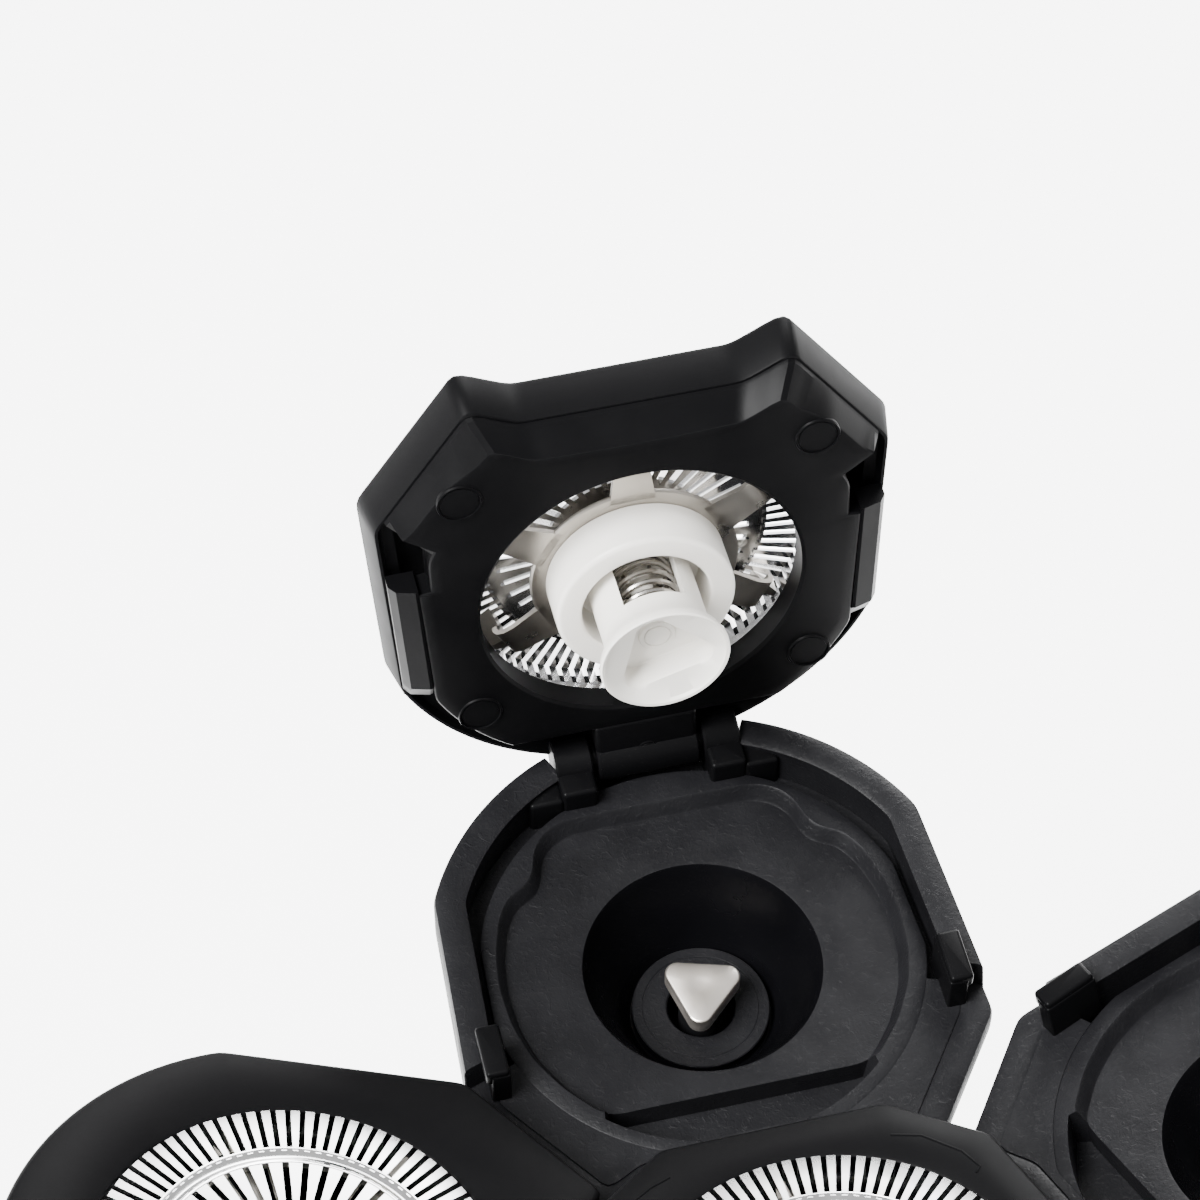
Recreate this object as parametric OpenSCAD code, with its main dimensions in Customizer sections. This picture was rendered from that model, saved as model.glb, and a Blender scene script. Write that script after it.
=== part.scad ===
// Six-headed rotary head shaver: five floating, flip-open shaving pods round a centre head, on a palm handle.
// Millimetres, +Z up. The origin is the middle of the flat foot, and the shaver stands upright on it.

/* [Shaving heads] */
// Radius of the slotted shaving track's outer edge
track_r = 10.5; // [10.2:0.1:10.8]
// Distance from the shaver's axis to the middle of a pod
pod_offset = 26.8; // [26.7:0.1:27.6]
// Height of a pod's track centre above the centre head's track
pod_rise = 1.8; // [1:0.1:2.5]
// Lean of each pod towards the axis, in degrees
pod_tilt = 12; // [11:0.5:13]
// Radius of a pod's round outer edge
pod_r = 15; // [14.6:0.1:15.2]
// How far the two open lids are swung back, in degrees
open_angle = 97; // [80:1:100]

/* [Handle] */
// Height of the centre head's track above the foot
track_height = 116; // [112:1:130]
// Radius of the handle's foot
foot_r = 22; // [20:0.5:24]
// Radius of the handle at its widest
palm_r = 27; // [25:0.5:29]
// Radius of the handle's waist
waist_r = 21.5; // [20:0.5:22.5]
// Wall thickness of the handle's shells
shell_t = 2; // [1.6:0.1:2.4]

/* [Hidden] */
POD_NAMES = ["top", "left", "lower_left", "lower_right", "right"];
POD_PARTS = ["base", "lid", "retainer", "foil", "cutter", "coupling", "spring", "spindle"];
CENTER_PARTS = ["cap", "retainer", "foil", "cutter", "coupling", "spring", "spindle"];
$fn = 64;
eps = 0.02;
gap = 0.1;

pods = len(POD_NAMES);
pod_pitch = 360 / pods;
open_pods = ["top", "right"];

// pod outline: round outside with flat flanks, straight sides between neighbours, a notch round the centre head
shoulder = [13.25, 15.3];
flank = [13.98, 0];
side_corner = [14.4, -6.9];
inner_corner = [8.9, -14.5];
notch_corner = [5.9, -13.2];

// levels of a shaving head, below the track's top face
lid_top = -0.35;
lid_roof = 1.35;
seam_z = -3;
retainer_face_z = -4.4;
rim_z = -3.2;
plateau_z = -4.7;
recess_z = -5.7;
floor_z = -10.1;
well_z = -10.9;
base_bottom_z = -11.5;
pivot_z = -11.8;
hinge_y = 13.5;
hinge_z = -3.85;

foil_hole_r = track_r + 0.2;
opening_r = 9;
mouth_r = 6.7;
floor_r = 3.8;
spindle_hole_r = 1.9;

// gear train: the centre gear drives one gear under each pod
gear_module = 1;
pod_teeth = 20;
center_teeth = 40;
gear_t = 1.6;
pod_gear_r = gear_module * pod_teeth / 2;
center_gear_r = gear_module * center_teeth / 2;
gear_z = -(center_gear_r - pod_offset + pod_gear_r * cos(pod_tilt)) / sin(pod_tilt);
center_gear_z = pod_rise - pod_gear_r * sin(pod_tilt) + gear_z * cos(pod_tilt);
deck_z = gear_z + 2;
petal_r = pod_gear_r + gear_module + 1.3;
hub_r = center_gear_r + gear_module + 1.2;

blades = 6;
blade_phase = -90;
tip_phase = 13;
socket_ceiling_z = -7.7;
plate_z = -2.45;
stem_top_z = -2.85;
chamber_z = -7.3;
post_points = [[-9.6, -9.5], [9.6, -9.5], [-9.4, 7.5], [9.4, 7.5]];
post_r = 1;

// latch hooks on the base, and the pockets in the lid that take them
hook_x = 12.1;
hook_y = [-6.2, -3];
hook_top_z = -1.95;
pocket_x = [11.7, 13.6];
pocket_y = [-6.7, -2.5];
latch_y = -5.2;

function mirrored(p) = [-p[0], p[1]];
function index_of(pod) = search([pod], POD_NAMES)[0];
function is_open(pod) = len([for (o = open_pods) if (o == pod) o]) > 0;

// ---------- placing ----------

module at_track() translate([0, 0, track_height]) children();

module at_pod(pod)
  at_track() rotate([0, 0, pod_pitch * index_of(pod)]) translate([0, pod_offset, pod_rise])
    rotate([pod_tilt, 0, 0]) children();

module swing(angle)
  translate([0, hinge_y, hinge_z]) rotate([-angle, 0, 0]) translate([0, -hinge_y, -hinge_z]) children();

module at_lid(pod) at_pod(pod) swing(is_open(pod) ? open_angle : 0) children();

module slab(z0, z1) translate([0, 0, z0]) linear_extrude(z1 - z0) children();

module disc(r, z0, z1) translate([0, 0, z0]) cylinder(r = r, h = z1 - z0);

module both_sides() {
  children();
  mirror([1, 0, 0]) children();
}

// ---------- outlines ----------

// pod outline drawn in by the round_in on its round side and by side_in on its straight sides
module pod_outline(round_in = 0, side_in = 0) {
  r = pod_r - round_in;
  side = [side_corner[0] - 1.05 * side_in, side_corner[1] + 0.1 * side_in];
  inner = [inner_corner[0] - 0.7 * side_in, inner_corner[1] + 1.2 * side_in];
  notch = [notch_corner[0] - 0.2 * side_in, notch_corner[1] + side_in];
  top = [shoulder[0] - side_in, shoulder[1]];
  middle = [flank[0] - side_in, 0];
  intersection() {
    circle(r);
    polygon([middle, top, mirrored(top), mirrored(middle)]);
  }
  polygon([middle, side, inner, notch, mirrored(notch), mirrored(inner), mirrored(side), mirrored(middle)]);
}

// centre head outline: five long flats facing the pods and five short ones between them
module center_outline(in = 0) {
  flat_w = 6 - 0.4 * in;
  flat_y = 13.2 - in;
  polygon([for (i = [0:pods - 1]) for (x = [-flat_w, flat_w])
    let (a = -i * pod_pitch) [x * cos(a) - flat_y * sin(a), x * sin(a) + flat_y * cos(a)]]);
}

// rounded triangle of the drive tip, from centre to rounded corner r
module drive_triangle(r, corner_r) {
  hull() for (a = [0, 120, 240]) rotate(tip_phase + a) translate([r - corner_r, 0]) circle(corner_r, $fn = 24);
}

module gear_outline(teeth) {
  r = gear_module * teeth / 2;
  root = r - 1.2 * gear_module;
  tip = r + 0.72 * gear_module;
  step = 360 / teeth;
  polygon([for (i = [0:teeth - 1]) for (p = [[-0.34, root], [-0.2, r], [-0.1, tip], [0.1, tip], [0.2, r], [0.34, root]])
    let (a = step * (i + p[0])) p[1] * [cos(a), sin(a)]]);
}

// ---------- shaving head, the same in a pod and in the centre ----------

module foil() color("silver") rotate_extrude() polygon([
  [0, -0.75], [4.1, -0.75], [4.3, -0.25], [7.1, -0.25], [7.3, -0.8], [8.1, -0.8], [8.3, -0.25], [9.9, -0.25],
  [10.2, -0.6], [10.2, seam_z + gap], [10.9, seam_z + gap], [10.9, lid_top - lid_roof - 0.05],
  [track_r + 0.1, lid_top - lid_roof - 0.05], [track_r + 0.1, -0.5], [track_r - 0.35, 0], [8.1, 0],
  [7.9, -0.45], [7.5, -0.45], [7.3, 0], [4.1, 0], [3.9, -0.5], [0, -0.5]
]);

module cutter() {
  color("gainsboro") {
    difference() {
      disc(5.8, plate_z - 0.3, plate_z);
      disc(0.8, plate_z - 1, plate_z + 1);
    }
    for (i = [0:blades - 1]) rotate(blade_phase + i * 360 / blades) {
      translate([5.4, -1.05, plate_z - 0.3]) cube([3.2, 2.1, 0.3]);
      translate([8.2, -1.05, plate_z - 0.3]) cube([0.4, 2.1, 0.8]);
      translate([8.35, 0.65, plate_z + 0.1]) cube([1.6, 0.4, -0.4 - plate_z - 0.1]);
    }
  }
  color("white") difference() {
    disc(4.95, -5.5, plate_z - 0.3);
    disc(3.6, -6, -2);
  }
}

module coupling() color("white") {
  coupling_stem();
  disc(0.65, chamber_z - 0.1, plate_z + 0.2);
  disc(1.2, plate_z + 0.1, plate_z + 0.5);
}

module coupling_stem() difference() {
  union() {
    disc(2.9, -8.2, stem_top_z);
    translate([0, 0, -9.7]) cylinder(r1 = 3.4, r2 = 2.9, h = 1.5);
  }
  disc(2.15, chamber_z, -2);
  translate([-1.65, -5, chamber_z]) cube([3.3, 10, stem_top_z - 0.3 - chamber_z]);
  translate([0, 0, -9.8]) cylinder(r1 = 3.05, r2 = 2.8, h = 0.8);
  slab(-9.2, socket_ceiling_z) drive_triangle(2.7, 0.9);
}

// return spring: a wire coil swept as one closed tube with flat ends
module spring() {
  coil_r = 1.75;
  wire_r = 0.16;
  turns = 6;
  steps = 12;
  z_low = chamber_z + 0.25;
  z_high = stem_top_z - 0.2;
  sides = 5;
  n = turns * steps;
  points = [for (i = [0:n]) let (a = 360 * i / steps, z = z_low + (z_high - z_low) * i / n)
    for (k = [0:sides - 1]) let (b = 360 * k / sides)
      [(coil_r + wire_r * cos(b)) * cos(a), (coil_r + wire_r * cos(b)) * sin(a), z + wire_r * sin(b)]];
  walls = [for (i = [0:n - 1]) for (k = [0:sides - 1]) let (a = i * sides + k, b = i * sides + (k + 1) % sides)
    [a, b, b + sides, a + sides]];
  ends = [[for (k = [sides - 1:-1:0]) k], [for (k = [0:sides - 1]) n * sides + k]];
  color("darkgray") polyhedron(points = points, faces = concat(walls, ends), convexity = 8);
}

module spindle(teeth, low_z, phase, tip_z = -7.9) color("silver") {
  slab(-9, tip_z) drive_triangle(1.85, 0.6);
  disc(1.25, gear_z, -9);
  translate([0, 0, low_z - gear_t / 2]) linear_extrude(gear_t) difference() {
    rotate(phase) gear_outline(teeth);
    for (i = [0:4]) rotate(i * 72) translate([0.58 * teeth * gear_module / 2, 0]) circle(1.9);
  }
}

// ---------- pod ----------

module hinge_axis(r, x0, x1) translate([x0, hinge_y, hinge_z]) rotate([0, 90, 0]) cylinder(r = r, h = x1 - x0);

module lid(pod) color([0.08, 0.08, 0.09]) {
  difference() {
    union() {
      difference() {
        slab(seam_z, lid_top) pod_outline();
        slab(seam_z - 1, lid_top - lid_roof) pod_outline(1.6, 1.5);
      }
      translate([-2.9, hinge_y - 1.4, hinge_z]) cube([5.8, 2.6, lid_top - 0.5 - hinge_z]);
      hinge_axis(1.4, -2.9, 2.9);
    }
    disc(foil_hole_r, -5, 1);
    both_sides() {
      hinge_axis(1.65, 3.05, 5.5);
      translate([3.05, hinge_y - 3, seam_z - 1]) cube([2.45, 6, 1.6]);
      hinge_axis(0.86, 1.7, 4);
      latch_pocket(seam_z - 1, hook_top_z + 0.25);
    }
  }
  for (p = post_points) translate([p[0], p[1], 0]) disc(post_r, retainer_face_z, lid_top - lid_roof + eps);
}

module latch_pocket(z0, z1) slab(z0, z1) translate([pocket_x[0], pocket_y[0]])
  square([pocket_x[1] - pocket_x[0], pocket_y[1] - pocket_y[0]]);

// the part of an outline between two heights of y
module between(y0, y1) intersection() {
  children();
  translate([-20, y0]) square([40, y1 - y0]);
}

module retainer(pod) color([0.1, 0.1, 0.11]) difference() {
  union() {
    slab(seam_z - 0.8, seam_z - 0.02) between(-20, latch_y - 0.2) pod_outline(2.3, 0.1);
    slab(retainer_face_z, seam_z - 0.7) between(-20, latch_y - 0.2) pod_outline(2.3, 1);
    slab(retainer_face_z, seam_z - 0.02) between(-20, 10.4) pod_outline(2.3, 1.8);
  }
  disc(opening_r, -6, 0);
  for (p = post_points) translate([p[0], p[1], 0]) disc(post_r + 0.1, -6, 0);
  both_sides() latch_pocket(-6, -2);
}

module recess_outline() {
  intersection() {
    circle(10.75);
    translate([-12, -7.9]) square([24, 15]);
  }
  polygon([[-7.6, 7], [-6.9, 9], [-5.1, 10], [5.1, 10], [6.9, 9], [7.6, 7]]);
}

module well_cut() {
  translate([0, 0, well_z]) cylinder(r1 = 4.7, r2 = mouth_r, h = recess_z - well_z + eps);
}

module well_boss() difference() {
  disc(floor_r, well_z - eps, floor_z);
  disc(spindle_hole_r, -20, 0);
}

module base(pod) color([0.11, 0.11, 0.12]) {
  difference() {
    union() {
      slab(plateau_z - 2.9, plateau_z) pod_outline(0, 0.3);
      slab(plateau_z - 0.1, rim_z) difference() {
        between(latch_y, 20) pod_outline();
        pod_outline(1.9, 1.6);
      }
      translate([0, 0, base_bottom_z]) cylinder(r1 = 8, r2 = 11.5, h = plateau_z - 2.9 - base_bottom_z + eps);
    }
    slab(recess_z, 0) recess_outline();
    slab(recess_z - 1.5, 0) intersection() {
      circle(10.75);
      translate([-12, -12]) square([24, 4.1]);
    }
    well_cut();
    disc(spindle_hole_r, -20, 0);
    translate([-5.5, hinge_y - 2, hinge_z - 2.5]) cube([11, 6, 10]);
  }
  well_boss();
  both_sides() {
    translate([3.2, hinge_y - 2.6, hinge_z - 2.6]) cube([2.1, 2.6, 2.6]);
    hinge_axis(1.4, 3.2, 5.3);
    hinge_axis(0.8, 1.8, 3.3);
    translate([hook_x, hook_y[0], plateau_z - eps]) cube([0.9, hook_y[1] - hook_y[0], hook_top_z - plateau_z]);
    translate([hook_x + 0.8, hook_y[0], hook_top_z - 0.8]) cube([0.4, hook_y[1] - hook_y[0], 0.8]);
    translate([2, 0, pivot_z]) rotate([0, 90, 0]) cylinder(r = 0.7, h = 1.2);
  }
}

// ---------- centre head ----------

module cap_center() color([0.08, 0.08, 0.09]) difference() {
  slab(-5, lid_top) center_outline();
  slab(-6, lid_top - lid_roof) center_outline(1.4);
  disc(foil_hole_r, -7, 1);
}

module retainer_center() color([0.1, 0.1, 0.11]) difference() {
  slab(retainer_face_z, seam_z - 0.02) center_outline(1.5);
  disc(opening_r, -6, 0);
}

// ---------- head chassis ----------

module petals(r, z0, z1) for (pod = POD_NAMES) rotate([0, 0, pod_pitch * index_of(pod)])
  translate([0, pod_offset, pod_rise]) rotate([pod_tilt, 0, 0]) hull() disc(r, z0, z1, $fn = 40);

module head_deck() color([0.12, 0.12, 0.13]) at_track() difference() {
  union() {
    difference() {
      petals(petal_r, deck_z - 1, deck_z);
      disc(hub_r - 0.1, -40, 10);
    }
    disc(hub_r, center_gear_z + 1.4, center_gear_z + 2.4);
    difference() {
      union() {
        disc(10.6, center_gear_z + 1.5, -6.4);
        slab(-7.2, -5.6) center_outline(1.6);
      }
      slab(recess_z, 0) circle(10.3);
      well_cut();
      disc(9.2, center_gear_z - 1, -11.9);
    }
  }
  petals(3.5, -20, -5);
  disc(spindle_hole_r, -30, 0);
}

module gear_tray() color([0.12, 0.12, 0.13]) at_track() difference() {
  union() {
    petals(petal_r, gear_z - 2.6, deck_z - 1);
    disc(hub_r, center_gear_z - 3, center_gear_z + 1.4);
    disc(15.9, center_gear_z - 11, center_gear_z - 2.9);
  }
  petals(petal_r - 1.2, gear_z - 1.4, deck_z + 6);
  difference() {
    petals(petal_r + 1, deck_z - 1, deck_z + 20);
    disc(hub_r - 0.5, -60, 60);
  }
  disc(hub_r - 1.2, center_gear_z - 1.4, center_gear_z + 20);
  disc(4.2, center_gear_z - 12, center_gear_z);
  disc(14.3, center_gear_z - 12, center_gear_z - 4.4);
}

// ---------- handle ----------

neck_z = track_height + center_gear_z - 6;
handle_top = neck_z - 3.4;
shaft_top = track_height + center_gear_z - gear_t / 2 - eps;

// the handle's radius at height z: a full palm low down, a waist under the head
function smooth(t) = t < 0 ? 0 : t > 1 ? 1 : t * t * (3 - 2 * t);
function handle_radius(z) =
  z < palm_z ? palm_r - 2.2 * pow(1 - z / palm_z, 2.4)
  : palm_r - (palm_r - waist_r) * smooth((z - palm_z) / (handle_top - 10 - palm_z))
    - (waist_r - collar_r) * smooth((z - handle_top + 22) / 22);

// the handle's outside as radius over height, thinned by wall for its inside
function handle_profile(wall) = concat(
  [for (a = [0:15:75]) [foot_r + 2.8 * sin(a) - wall, 2.8 * (1 - cos(a)) + wall * cos(a)]],
  [for (i = [0:18]) let (z = 4 + i * (handle_top - 5.5) / 18) [handle_radius(z) - wall, z]],
  [[collar_r - 0.3 - wall, handle_top - 0.6 - wall], [collar_r - 0.9 - wall, handle_top - wall]]);

module handle_solid(wall) rotate_extrude()
  polygon(concat([[0, wall]], handle_profile(wall), [[0, handle_top - wall]]));

palm_z = 28;
collar_r = 19.2;
button_z = 70;
window_z = 44;
socket_z = 12;
board_y = -14.5;
screw_points = [[-13, 22], [13, 22], [-15, 74], [15, 74]];

module handle_shell() difference() {
  handle_solid(0);
  handle_solid(shell_t);
  disc(16.3, handle_top - 5, handle_top + 5);
}

module half(side) intersection() {
  children();
  translate([-60, side > 0 ? eps : -60 - eps, -1]) cube([120, 60, 200]);
}

module along_y(x, z, r, y0, y1) translate([x, y0, z]) rotate([-90, 0, 0]) cylinder(r = r, h = y1 - y0);

module handle_front() color([0.08, 0.08, 0.09]) {
  difference() {
    half(-1) handle_shell();
    along_y(0, button_z, 5.7, -40, -10);
    translate([-7.2, -40, window_z - 11.2]) cube([14.4, 28, 22.4]);
  }
  difference() {
    half(-1) intersection() {
      handle_solid(shell_t - 0.05);
      union() for (p = screw_points) along_y(p[0], p[1], 2.4, -40, -0.1);
    }
    for (p = screw_points) along_y(p[0], p[1], 1.05, -8, 1);
  }
}

module handle_rear() color([0.08, 0.08, 0.09]) difference() {
  union() {
    half(1) handle_shell();
    half(1) intersection() {
      handle_solid(0);
      union() for (p = screw_points) along_y(p[0], p[1], 2.9, 0, 40);
    }
  }
  for (p = screw_points) {
    along_y(p[0], p[1], 1.3, -1, 40);
    along_y(p[0], p[1], 2.3, 3, 40);
  }
  along_y(0, socket_z, 4.6, 10, 40);
}

module handle_screws() color("dimgray") for (p = screw_points) {
  along_y(p[0], p[1], 2, 3, 4.6);
  along_y(p[0], p[1], 1, -7, 3 + eps);
}

module neck_ring() color([0.55, 0.56, 0.58]) difference() {
  disc(18.9, handle_top + gap, neck_z - gap);
  disc(16.3, 0, neck_z + 5);
}

module motor() color("gray") translate([0, 0, handle_top - 32]) {
  cylinder(r = 12, h = 25);
  cylinder(r = 3, h = 27.5);
}

module drive_shaft() color("silver") {
  disc(1, handle_top - 4.45, shaft_top - 2.4);
  disc(3.2, shaft_top - 7.8, shaft_top - 2.6);
  slab(shaft_top - 2.7, shaft_top) square(2.6, center = true);
}

module battery() color("seagreen") disc(9, 6, 54);

module circuit_board() color("darkgreen") {
  translate([-9, board_y, 22]) cube([18, 1.2, 54]);
  along_y(0, button_z, 2.4, board_y - 2.2, board_y);
}

module power_button() color([0.15, 0.15, 0.16]) {
  along_y(0, button_z, 5.5, -22.6, -18.6);
  along_y(0, button_z, 2, -18.6 - eps, board_y - 3.3);
}

module display_window() color([0.02, 0.02, 0.03]) intersection() {
  translate([-7, -40, window_z - 11]) cube([14, 40 - 22, 22]);
  handle_solid(0);
}

module charge_socket() color([0.2, 0.2, 0.2]) difference() {
  intersection() {
    along_y(0, socket_z, 4.5, 14, 25);
    handle_solid(0.3);
  }
  along_y(0, socket_z, 2.75, 15.5, 40);
}

// ---------- the model ----------

for (pod = POD_NAMES) {
  at_pod(pod) base(pod);
  at_lid(pod) lid(pod);
  at_lid(pod) retainer(pod);
  at_lid(pod) foil();
  at_lid(pod) cutter();
  at_lid(pod) coupling();
  at_lid(pod) spring();
  at_pod(pod) spindle(pod_teeth, gear_z, 90 + 180 / pod_teeth);
}
at_track() cap_center();
at_track() retainer_center();
at_track() foil();  // foil_center
at_track() cutter();  // cutter_center
at_track() coupling();  // coupling_center
at_track() spring();  // spring_center
at_track() spindle(center_teeth, center_gear_z, 90, -8.3);  // spindle_center
head_deck();
gear_tray();
neck_ring();
handle_front();
handle_rear();
motor();
drive_shaft();
battery();
circuit_board();
power_button();
display_window();
charge_socket();
handle_screws();
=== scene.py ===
"""A six-headed rotary head shaver with two pods open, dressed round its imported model.

All shapes are worked out in millimetres, in the frame of one shaving head (x along the hinge, y outwards, z out of
the slotted track, origin in the middle of the track's top), then placed in the row frame in metres.
"""

from __future__ import annotations

import logging
import math
from dataclasses import dataclass, field
from enum import Enum

import bpy
import numpy as np
from mathutils import Matrix

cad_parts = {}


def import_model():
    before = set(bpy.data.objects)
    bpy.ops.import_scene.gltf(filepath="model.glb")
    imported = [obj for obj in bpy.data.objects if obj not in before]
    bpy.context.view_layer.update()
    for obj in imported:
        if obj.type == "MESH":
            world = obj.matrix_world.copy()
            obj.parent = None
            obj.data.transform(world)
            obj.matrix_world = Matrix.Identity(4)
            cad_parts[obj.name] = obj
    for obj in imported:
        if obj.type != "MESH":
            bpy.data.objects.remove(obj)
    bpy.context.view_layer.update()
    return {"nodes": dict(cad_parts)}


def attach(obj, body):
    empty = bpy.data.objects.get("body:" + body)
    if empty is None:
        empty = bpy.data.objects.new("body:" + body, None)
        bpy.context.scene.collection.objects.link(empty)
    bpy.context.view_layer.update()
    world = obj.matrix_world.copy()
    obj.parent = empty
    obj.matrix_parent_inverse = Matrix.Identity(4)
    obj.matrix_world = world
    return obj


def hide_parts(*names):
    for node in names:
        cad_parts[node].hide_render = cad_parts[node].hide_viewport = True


LOG = logging.getLogger("shaver")
MM = 0.001
TURN = 2 * math.pi
ROUND = 288  # points round a moulded outline
TIP_PHASE = 13.0  # where the drive triangle's first corner points, in degrees


# ---------------------------------------------------------------- shapes


@dataclass
class Shape:
    """Loose surface data in millimetres: points, and faces grouped by their number of corners."""

    points: np.ndarray
    faces: list[np.ndarray] = field(default_factory=list)

    def __add__(self, other: "Shape") -> "Shape":
        """The two shapes side by side as one."""
        shift = len(self.points)
        return Shape(np.vstack([self.points, other.points]), self.faces + [f + shift for f in other.faces])

    def placed(self, matrix: np.ndarray) -> "Shape":
        """The shape moved by a 4 by 4 matrix."""
        return Shape(self.points @ matrix[:3, :3].T + matrix[:3, 3], self.faces)

    def mirrored(self) -> "Shape":
        """The shape mirrored in x, with its faces still pointing outwards."""
        return Shape(self.points * np.array([-1.0, 1.0, 1.0]), [f[:, ::-1] for f in self.faces])


def joined(shapes: list[Shape]) -> Shape:
    """All the shapes as one."""
    total = shapes[0]
    for shape in shapes[1:]:
        total = total + shape
    return total


def rings(loops: np.ndarray, around: bool = False, caps: bool = True) -> Shape:
    """A surface through a stack of closed loops: point (i, j) joins (i, j+1) and (i+1, j).

    Args:
        loops: array (m, n, 3), loop i running anticlockwise seen from the side that loop i+1 lies on, for
            faces that point outwards.
        around: whether the last loop joins the first, as in a torus.
        caps: whether the first and last loops are closed by one flat face each.

    Returns:
        The closed shape.
    """
    m, n = loops.shape[:2]
    i = np.arange(m if around else m - 1)[:, None]
    j = np.arange(n)[None, :]
    a, b = i * n + j, i * n + (j + 1) % n
    up = ((i + 1) % m) * n
    quads = np.stack([a, b, up + (j + 1) % n, up + j], -1).reshape(-1, 4)
    faces = [quads]
    if caps and not around:
        faces += [np.arange(n)[::-1][None, :], (np.arange(n) + (m - 1) * n)[None, :]]
    return Shape(loops.reshape(-1, 3), faces)


def polar_loops(angles: np.ndarray, radii: list, heights: list) -> np.ndarray:
    """Loops about the z axis: loop k has radius radii[k] and height heights[k], each a number or one per angle."""
    r = np.stack([np.broadcast_to(x, angles.shape) for x in radii])
    z = np.stack([np.broadcast_to(x, angles.shape) for x in heights])
    return np.stack([r * np.cos(angles), r * np.sin(angles), z], -1)


def lathe(profile: list[tuple[float, float]], segments: int = 96, around: bool = True) -> Shape:
    """A turned piece: the closed profile of (radius, height) points carried round the z axis.

    Args:
        profile: anticlockwise in the (radius, height) plane.
        segments: steps in a full turn.
        around: whether the profile closes on itself; otherwise its ends lie near the axis and are capped.

    Returns:
        The turned shape.
    """
    angles = np.arange(segments) * TURN / segments
    r, z = zip(*profile)
    return rings(polar_loops(angles, list(r), list(z)), around=around)


def arc_profile(r: float, z: float, size: float, start: float, stop: float, steps: int = 5) -> list:
    """Points on a small circle of a profile, centre (r, z), from start to stop degrees."""
    a = np.radians(np.linspace(start, stop, steps))
    return list(zip(r + size * np.cos(a), z + size * np.sin(a)))


def rounded_rect(w: float, d: float, r: float, steps: int = 5) -> np.ndarray:
    """Outline of a w by d rectangle with corner radius r, anticlockwise, as (n, 2)."""
    t = np.linspace(0, math.pi / 2, steps)
    parts = [np.stack([sx * (w / 2 - r) + r * np.cos(t + q), sy * (d / 2 - r) + r * np.sin(t + q)], -1)
             for sx, sy, q in ((1, 1, 0), (-1, 1, math.pi / 2), (-1, -1, math.pi), (1, -1, 1.5 * math.pi))]
    return np.vstack(parts)


def block(low: tuple, high: tuple, edge: float = 0.15) -> Shape:
    """A moulded block between two corners, every edge rounded by edge."""
    lo, hi = np.array(low, float), np.array(high, float)
    w, d = hi[:2] - lo[:2]
    centre = (lo + hi) / 2
    t = np.linspace(0, math.pi / 2, 4)
    insets = np.concatenate([edge * (1 - np.sin(t)), edge * (1 - np.cos(t))])
    heights = np.concatenate([lo[2] + edge * (1 - np.cos(t)), hi[2] - edge * (1 - np.sin(t))])
    loops = []
    for inset, z in zip(insets, heights):
        ring = rounded_rect(w - 2 * inset, d - 2 * inset, max(edge * 1.01 - inset, 0.01))
        loops.append(np.column_stack([ring + centre[:2], np.full(len(ring), z)]))
    return rings(np.array(loops))


def tube(path: np.ndarray, r: float, sides: int = 8) -> Shape:
    """A round wire of radius r along a path of points, with closed ends."""
    along = np.gradient(path, axis=0)
    along /= np.linalg.norm(along, axis=1)[:, None]
    up = np.array([0.0, 0.0, 1.0])
    side = np.cross(along, up)
    side /= np.linalg.norm(side, axis=1)[:, None]
    top = np.cross(side, along)
    a = np.arange(sides) * TURN / sides
    loops = path[:, None] + r * (np.cos(a)[None, :, None] * side[:, None] + np.sin(a)[None, :, None] * top[:, None])
    return rings(loops[:, ::-1])


def strip(path: np.ndarray, widths: np.ndarray, thick: float) -> Shape:
    """A flat strip in the xz plane: path (n, 2) of (x, z), width along y, thickness across the path."""
    along = np.gradient(path, axis=0)
    along /= np.linalg.norm(along, axis=1)[:, None]
    normal = np.column_stack([-along[:, 1], along[:, 0]])
    w = np.broadcast_to(widths, len(path))[:, None] / 2
    low, high = path - normal * thick / 2, path + normal * thick / 2
    corner = [np.column_stack([p[:, 0], s * w[:, 0], p[:, 1]]) for p, s in
              ((low, -1), (low, 1), (high, 1), (high, -1))]
    return rings(np.stack(corner, 1))


def spin_copies(shape: Shape, count: int, phase: float = 0.0) -> Shape:
    """count copies of a shape, evenly round the z axis, the first turned by phase degrees."""
    return joined([shape.placed(turn_z(phase + 360 * k / count)) for k in range(count)])


# ---------------------------------------------------------------- placing


def turn_z(degrees: float) -> np.ndarray:
    """4 by 4 turn about z."""
    c, s = math.cos(math.radians(degrees)), math.sin(math.radians(degrees))
    return np.array([[c, -s, 0, 0], [s, c, 0, 0], [0, 0, 1, 0], [0, 0, 0, 1.0]])


def turn_x(degrees: float) -> np.ndarray:
    """4 by 4 turn about x."""
    c, s = math.cos(math.radians(degrees)), math.sin(math.radians(degrees))
    return np.array([[1, 0, 0, 0], [0, c, -s, 0], [0, s, c, 0], [0, 0, 0, 1.0]])


def shift(x: float, y: float, z: float) -> np.ndarray:
    """4 by 4 move."""
    m = np.eye(4)
    m[:3, 3] = (x, y, z)
    return m


class Pod(Enum):
    """The five pods, anticlockwise from the one at the top, with their place in the ring."""

    TOP = 0
    LEFT = 1
    LOWER_LEFT = 2
    LOWER_RIGHT = 3
    RIGHT = 4

    @property
    def word(self) -> str:
        """The pod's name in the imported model."""
        return self.name.lower()

    @property
    def is_open(self) -> bool:
        """Whether the pod's lid stands open."""
        return self in (Pod.TOP, Pod.RIGHT)


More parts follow.
